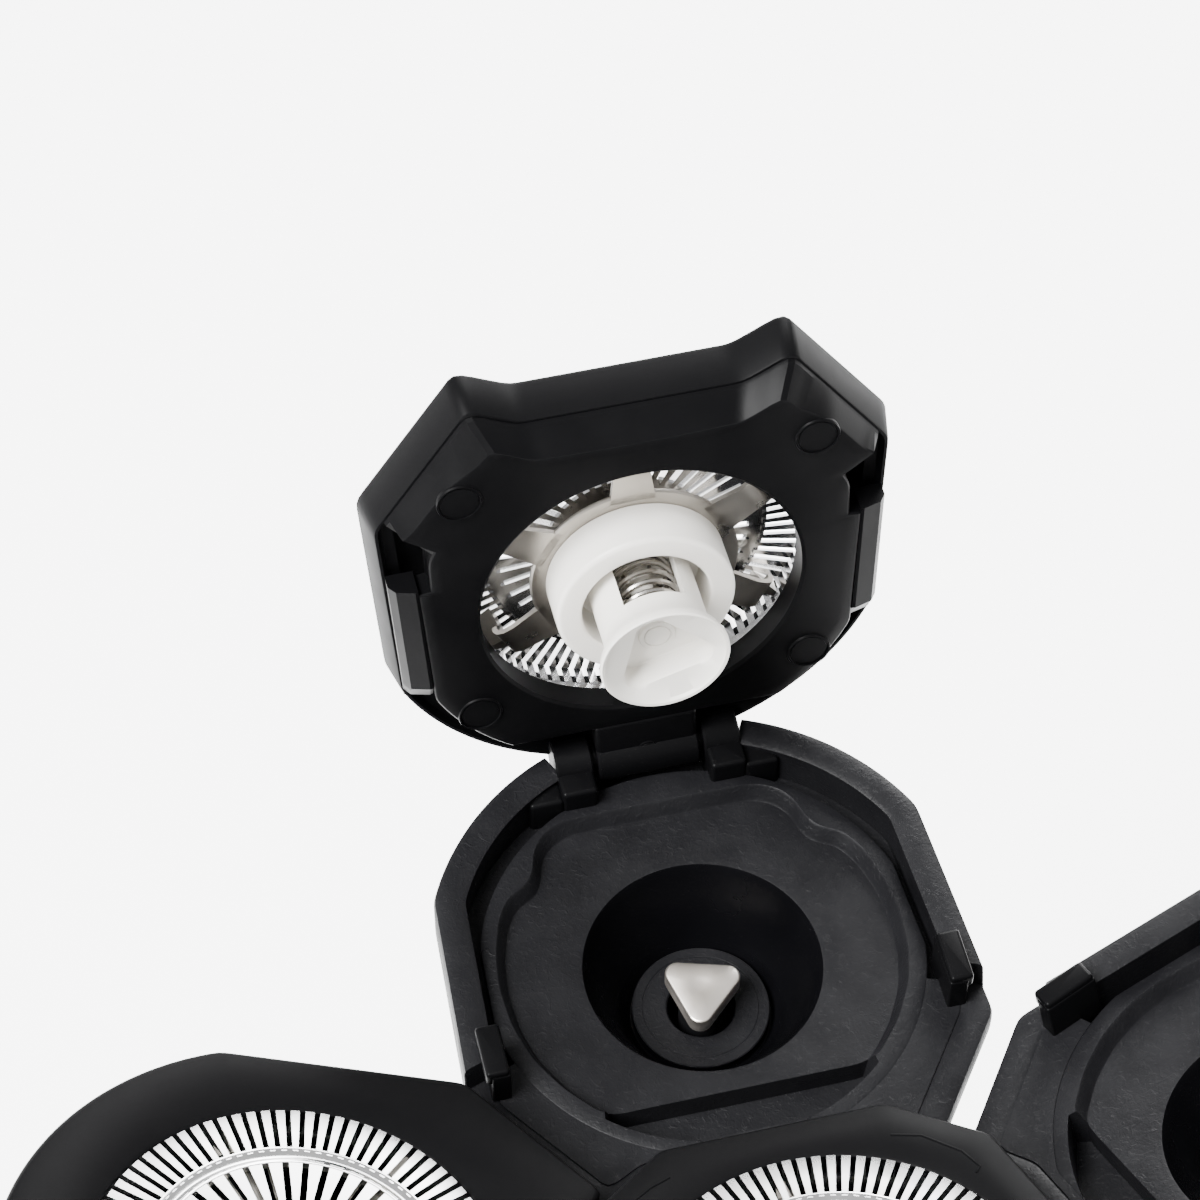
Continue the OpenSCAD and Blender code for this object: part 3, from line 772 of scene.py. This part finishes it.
@dataclass(frozen=True)
class PodBase:
    """A pod's cup: outer shell with a raised rim, a ring insert, a stippled floor and a deep glossy bore."""

    outline: PodOutline = PodOutline()
    rim_z: float = -3.2
    plateau_z: float = -4.7
    floor_z: float = -5.7
    bore_r: float = 6.5

    def floor_radius(self, grow: float = 0.0) -> np.ndarray:
        """The stippled floor's edge: an arc with stepped corners towards the hinge and a flat towards the centre."""
        half = [(10.75, 0.6), (10.5, 2.6), (9.9, 4.6), (9.1, 5.9), (8.0, 6.3), (7.4, 7.2), (7.2, 8.4), (6.4, 9.4),
                (5.2, 9.9)]
        low = [(-10.6, -1.8), (-10.0, -3.9), (-8.9, -5.9), (-7.2, -7.9)]
        corners = half + [(-x, y) for x, y in half[::-1]] + low + [(-x, y) for x, y in low[::-1]]
        return polygon_radius(corners) + grow

    def cup(self) -> tuple[Shape, int]:
        """The shell from the pivot boss up the outside, over the rim, across the ledge and insert, down the bore.

        Returns:
            The shape, and the first point of its bore.
        """
        o = self.outline
        ledge = o.radius(1.7)
        y, x = o.radius(0.0) * np.sin(ANGLES), o.radius(0.0) * np.cos(ANGLES)
        rimmed = y > -5.2
        hinge = (np.abs(x) < 5.5) & (y > 11.0)
        top = at(hinge, -5.35, at(rimmed, self.rim_z, self.plateau_z))
        inner_top = at(hinge, -5.35, at(rimmed, self.rim_z - 0.05, self.plateau_z))
        slot = at(hinge, -5.9, at(rimmed, -5.9, self.plateau_z))
        low = np.sin(ANGLES) < -0.745
        deep = at(low, -7.2, self.plateau_z)
        floor = self.floor_radius()
        lip = at(low, 11.3, floor + 0.4)
        r = [1.9, 2.9, 3.0, 3.0, 8.0, 11.4, o.radius(1.0), o.radius(0.45), o.radius(0.3), o.radius(0.3), o.radius(0.02),
             o.radius(0.02), o.radius(0.1), o.radius(0.4), o.radius(1.5), o.radius(1.75), ledge, ledge,
             np.minimum(o.radius(2.2), 12.2), np.minimum(o.radius(2.2), 12.2), np.minimum(o.radius(2.3), 12.1),
             lip + 0.12, lip, floor + 0.1, floor, self.bore_r + 0.3]
        z = [-12.5, -12.5, -12.4, -11.5, -11.5, -7.75, -7.6, -7.6, -7.5, -6.1, -6.0, top - 0.35, top - 0.1, top,
             inner_top, inner_top - 0.12, inner_top - 0.4, slot, slot, self.plateau_z - 0.05, self.plateau_z,
             self.plateau_z, deep - 0.1, at(low, -7.2, self.floor_z + 0.1), self.floor_z, self.floor_z]
        bore_r, bore_z = self.bore()
        return rings(polar_loops(ANGLES, r + bore_r, z + bore_z), around=True), len(r) * ROUND

    def bore(self) -> tuple[list, list]:
        """Radii and heights of the conical bore and the disc at its foot, open in the middle for the spindle."""
        r = [self.bore_r + 0.1, self.bore_r, 6.3, 4.05, 3.95, 3.85, 3.7, 1.95, 1.9, 1.9]
        z = [self.floor_z - 0.04, self.floor_z - 0.18, -6.3, -10.75, -10.9, -10.9, -10.3, -10.3, -10.4, -11.4]
        return r, z

    def floor_disc(self) -> Shape:
        """The grained disc at the foot of the bore, with a fine moulded line near its edge."""
        return lathe([(1.9, -10.35), (3.82, -10.35), (3.84, -10.16), (3.78, -10.1), (3.3, -10.1), (3.27, -10.13),
                      (3.22, -10.13), (3.19, -10.1), (1.98, -10.1), (1.9, -10.16)], 96)

    def fittings(self) -> Shape:
        """The latch hooks, and the hinge ears with their webs and stub pins."""
        stem = block((12.05, -6.2, -5.3), (13.1, -3.0, -2.3), 0.12)
        hook = stem + block((12.1, -6.15, -3.0), (13.4, -3.05, -1.95), 0.2)
        ear = block((3.25, 10.9, -6.4), (5.3, 13.2, -3.2), 0.25)
        knuckle = lathe([(0.01, 3.2), (1.3, 3.2), (1.4, 3.3), (1.4, 5.2), (1.3, 5.3), (0.01, 5.3)], 40,
                        around=False).placed(shift(0, 13.5, -3.85) @ turn_y_to_x())
        stub = lathe([(0.01, 1.8), (0.7, 1.8), (0.8, 1.9), (0.8, 3.3), (0.01, 3.3)], 32,
                     around=False).placed(shift(0, 13.5, -3.85) @ turn_y_to_x())
        # a small web beside each ear, down to the cup's rim
        web = block((5.2, 10.9, -6.4), (7.2, 12.7, -3.7), 0.25)
        side = hook + ear + web + knuckle + stub
        return side + side.mirrored()


# height of a drive tip below its track; the centre's stays clear of its socket as the centre floats
POD_TIP_Z = -7.9
CENTRE_TIP_Z = -8.5


@dataclass(frozen=True)
class Spindle:
    """The drive spindle's upper end: a black post with a steel tip, three-sided with rounded corners."""

    tip_z: float = POD_TIP_Z

    def tip(self) -> Shape:
        """The steel tip: a rounded triangle with a bevelled top edge."""
        r = [0.01, triangle_radius(2.15, 0.6), triangle_radius(2.3, 0.7), triangle_radius(2.3, 0.7),
             triangle_radius(2.26, 0.68), triangle_radius(2.16, 0.62), 0.5, 0.45, 0.01]
        top = self.tip_z
        z = [top - 1.1, top - 1.1, top - 1.0, top - 0.14, top - 0.05, top, top, top - 0.012, top - 0.012]
        return rings(polar_loops(ANGLES, r, z))

    def post(self) -> Shape:
        """The black post under the tip."""
        return lathe([(0.01, -14.3), (1.25, -14.3), (1.25, self.tip_z - 1.15), (1.15, self.tip_z - 1.08),
                      (0.01, self.tip_z - 1.08)], 48, around=False)

    def gear(self, teeth: int, z: float, phase: float) -> Shape:
        """The spur gear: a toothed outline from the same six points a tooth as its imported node, with rounded lips."""
        r = teeth / 2
        k = np.arange(teeth)[:, None]
        offs = np.array([-0.34, -0.2, -0.1, 0.1, 0.2, 0.34])
        radii = np.array([r - 1.2, r, r + 0.72, r + 0.72, r, r - 1.2])
        a = (TURN * (k + offs) / teeth).ravel() + math.radians(phase)
        out = np.column_stack([np.tile(radii, teeth) * np.cos(a), np.tile(radii, teeth) * np.sin(a)])
        small = out * (1 - 0.15 / r)
        hub = 1.3 / np.hypot(*out.T)[:, None] * out
        stack = [(hub, z - 0.8), (small, z - 0.8), (out, z - 0.65), (out, z + 0.65), (small, z + 0.8), (hub, z + 0.8)]
        return rings(np.array([np.column_stack([o, np.full(len(o), h)]) for o, h in stack]), around=True)


# ---------------------------------------------------------------- assemblies


class HeadAssembly:
    """Six shaving heads: five pods and the one in the middle."""

    def __init__(self, looks: Finishes) -> None:
        """Keeps the finishes for the pieces."""
        self.looks = looks

    def cartridge(self, word: str, place: np.ndarray, cover: str, cutter: str) -> None:
        """Track, spider, carrier, coupling and spring of one head.

        Args:
            word: the head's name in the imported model.
            place: where it sits.
            cover: the body its track rides on.
            cutter: the body its cutter rides on.
        """
        looks = self.looks
        piece(f"slotted_track_{word}", ShavingTrack().shape(), place, looks.track, cover,
              (f"foil_{word}",))
        spider = SpiderCutter()
        piece(f"spider_{word}", spider.shape(), place, looks.cutter, cutter, (f"cutter_{word}",))
        piece(f"cutter_carrier_{word}", spider.carrier(), place, looks.white, cutter)
        coupling = DriveCoupling()
        piece(f"drive_socket_{word}", coupling.shape(), place, looks.white, cutter,
              (f"coupling_{word}",))
        piece(f"return_spring_{word}", coupling.coil(), place, looks.spring, cutter,
              (f"spring_{word}",))

    def pod(self, pod: Pod) -> None:
        """Builds one pod: base, lid, cartridge and spindle."""
        looks, word = self.looks, pod.word
        base, inside = PodBase(), LidInside()
        here, lid = LAYOUT.pod(pod), LAYOUT.lid(pod)
        cup, bore = base.cup()
        # the bore gets the darker finish: its colour is painted shade down the cone
        piece(f"cup_{word}", cup, here, looks.base, f"pod_{word}", (f"base_{word}",),
              second=(looks.bore, bore))
        piece(f"cup_floor_{word}", base.floor_disc(), here, looks.base, f"pod_{word}")
        piece(f"cup_hooks_{word}", base.fittings(), here, looks.lid_inside, f"pod_{word}")
        piece(f"lid_cover_{word}", HeadCover(base.outline).shape(), lid, looks.lid, f"lid_{word}",
              (f"lid_{word}",), 50.0)
        piece(f"lid_lug_{word}", inside.lug(), lid, looks.lid_inside, f"lid_{word}")
        piece(f"lid_plate_{word}", inside.shape(), lid, looks.lid_inside, f"lid_{word}",
              (f"retainer_{word}",), 20.0)
        self.cartridge(word, lid, f"lid_{word}", f"cutter_{word}")
        self.spindle(word, here, f"drive_{word}", 20, -14.34, 99.0)

    def spindle(self, word: str, place: np.ndarray, body: str, teeth: int, low: float, phase: float) -> None:
        """Builds a drive spindle with its gear, post and tip."""
        spindle = Spindle(CENTRE_TIP_Z if word == "center" else POD_TIP_Z)
        piece(f"spindle_tip_{word}", spindle.tip(), place, self.looks.tip, body,
              (f"spindle_{word}",), 60.0)
        piece(f"spindle_post_{word}", spindle.post(), place, self.looks.chassis, body)
        piece(f"drive_gear_{word}", spindle.gear(teeth, low, phase), place, self.looks.chassis, body,
              sharp=30.0)

    def centre(self) -> None:
        """Builds the centre head."""
        place = LAYOUT.centre()
        outline = CentreOutline()
        cover = HeadCover(outline, skirt_z=-5.0)
        piece("centre_cover", cover.shape(), place, self.looks.lid, "center_float", ("cap_center",),
              50.0)
        piece("centre_marks", CoverMarks().shape(), place, self.looks.lid, "center_float")
        self.cartridge("center", place, "center_float", "center_cutter")
        self.spindle("center", place, "center_drive", 40, -14.306, 90.0)

    def build(self) -> None:
        """Builds all six."""
        for pod in Pod:
            self.pod(pod)
        self.centre()


class PackedNodes:
    """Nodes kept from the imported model, each given its finish."""

    def __init__(self, looks: Finishes, nodes: dict) -> None:
        """Pairs each kept node with a finish."""
        self.nodes = nodes
        self.finish = {
            "retainer_center": looks.lid_inside, "head_deck": looks.chassis, "gear_tray": looks.chassis,
            "neck_ring": looks.ring, "handle_front": looks.handle, "handle_rear": looks.handle,
            "motor": looks.can, "drive_shaft": looks.tip, "battery": looks.wrap, "circuit_board": looks.board,
            "power_button": looks.button, "display_window": looks.window, "charge_socket": looks.rubber,
            "handle_screws": looks.screw,
        }

    def dress(self) -> None:
        """Puts the finishes on."""
        for name, finish in self.finish.items():
            mesh = self.nodes[name].data
            mesh.materials.clear()
            mesh.materials.append(finish)
            LOG.info("%s: dressed as %s", name, finish.name)


# the room's light, the two soft boxes (metres, watts) and the glow of the paper floor
ROOM_STRENGTH = 0.8
BOX_SIZE = 0.5
KEY_WATTS = 34.0
BACK_WATTS = 16.0
FLOOR_GLOW = 3.6


class Studio:
    """Camera, floor and soft light."""

    def camera(self) -> None:
        """A long lens on the open pods, from above and in front: rows of the matrix are right, up and back."""
        data = bpy.data.cameras.new("camera")
        data.lens, data.sensor_width, data.clip_start, data.clip_end = 120.0, 36.0, 0.01, 50.0
        obj = bpy.data.objects.new("camera", data)
        right = np.array([0.97277, -0.22704, -0.04655])
        forward = np.array([0.13862, 0.73093, -0.66822])
        right -= forward * (right @ forward)
        right /= np.linalg.norm(right)
        forward /= np.linalg.norm(forward)
        up = np.cross(right, forward)
        spot = np.array([-32.11, -117.92, 157.67 + LAYOUT.track_height]) * MM
        m = np.eye(4)
        m[:3, 0], m[:3, 1], m[:3, 2], m[:3, 3] = right, up, -forward, spot
        obj.matrix_world = Matrix(m.tolist())
        bpy.context.scene.collection.objects.link(obj)
        bpy.context.scene.camera = obj

    def floor(self) -> None:
        """A wide pale floor that rises to a backdrop far behind, as one sheet: height is flat, then a quarter
        round."""
        t = np.linspace(-2.5, 6.0, 60)
        y = np.where(t < 3, t, 3 + 1.6 * np.sin(np.clip(t - 3, 0, 3) * math.pi / 6))
        z = np.where(t < 3, 0.0, 1.6 * (1 - np.cos(np.clip(t - 3, 0, 3) * math.pi / 6))) - 0.0002
        x = np.linspace(-4, 4, 9)
        grid = np.stack(np.broadcast_arrays(x[None, :], y[:, None], z[:, None]), -1)
        n = len(x)
        i, j = np.meshgrid(np.arange(len(t) - 1), np.arange(n - 1), indexing="ij")
        a = (i * n + j).ravel()
        mesh = bpy.data.meshes.new("floor")
        mesh.from_pydata(grid.reshape(-1, 3).tolist(), [], np.stack([a, a + 1, a + n + 1, a + n], -1).tolist())
        mesh.shade_smooth()
        mesh.materials.append(Finish("backlit_paper", "#f6f6f6", "#fafafa", (0.8, 0.9), grain_mm=2.0, relief=0.02,
                                     blotch_mm=400.0, specular=0.1, glow=FLOOR_GLOW).material())
        obj = bpy.data.objects.new("floor", mesh)
        bpy.context.scene.collection.objects.link(obj)

    def lamp(self, name: str, spot: tuple, size: float, watts: float) -> None:
        """A square soft box aimed at the head."""
        data = bpy.data.lights.new(name, "AREA")
        data.shape, data.size, data.energy = "SQUARE", size, watts
        obj = bpy.data.objects.new(name, data)
        target = np.array([0.0, 0.0, LAYOUT.track_height * MM])
        back = np.array(spot) - target
        back /= np.linalg.norm(back)
        side = np.cross((0.0, 0.0, 1.0), back)
        side = side / np.linalg.norm(side) if np.linalg.norm(side) > 1e-3 else np.array([1.0, 0, 0])
        m = np.eye(4)
        m[:3, 0], m[:3, 1], m[:3, 2], m[:3, 3] = side, np.cross(back, side), back, spot
        obj.matrix_world = Matrix(m.tolist())
        bpy.context.scene.collection.objects.link(obj)

    def build(self) -> None:
        """Sets up the scene."""
        self.camera()
        self.floor()
        world = bpy.data.worlds.new("white_room")
        world.use_nodes = True
        world.node_tree.nodes["Background"].inputs[0].default_value = (1.0, 1.0, 1.0, 1.0)
        world.node_tree.nodes["Background"].inputs[1].default_value = ROOM_STRENGTH
        bpy.context.scene.world = world
        self.lamp("key_box", (-0.5, -0.3, 0.8), BOX_SIZE, KEY_WATTS)
        self.lamp("back_box", (0.4, 0.7, 0.7), BOX_SIZE, BACK_WATTS)


def corners(bounds: tuple) -> list:
    """Two corners as plain lists of numbers."""
    return [[float(x) for x in corner] for corner in bounds]


def main() -> None:
    """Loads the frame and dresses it."""
    logging.basicConfig(level=logging.INFO, format="%(name)s %(message)s")
    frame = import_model()
    Studio().build()
    looks = Finishes()
    HeadAssembly(looks).build()
    PackedNodes(looks, frame["nodes"]).dress()


if __name__ == "__main__":
    main()
